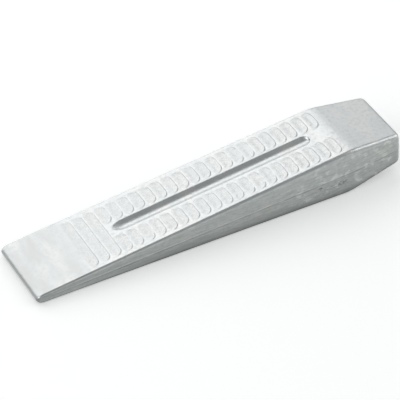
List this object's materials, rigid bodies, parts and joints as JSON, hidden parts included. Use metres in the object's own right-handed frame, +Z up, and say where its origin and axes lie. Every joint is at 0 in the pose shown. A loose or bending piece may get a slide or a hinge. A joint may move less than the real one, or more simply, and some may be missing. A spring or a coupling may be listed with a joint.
{
  "type": "felling wedge",
  "caption": "Forged aluminium felling wedge with a blunt nose, scaled gripping faces, a blind groove on each face and a tapered struck head.",
  "frame": {"origin": "middle of the object's box at the level of the table that its lower working face lies on", "axes": "+X from the nose to the struck head, +Y across the width, +Z up"},
  "size_m": [0.2518, 0.052, 0.0332],
  "materials": {
    "forged_aluminium": "as-forged satin, bright and unpainted"
  },
  "bodies": {
    "root": {"wedge_body": "forged_aluminium"}
  },
  "joints": []
}
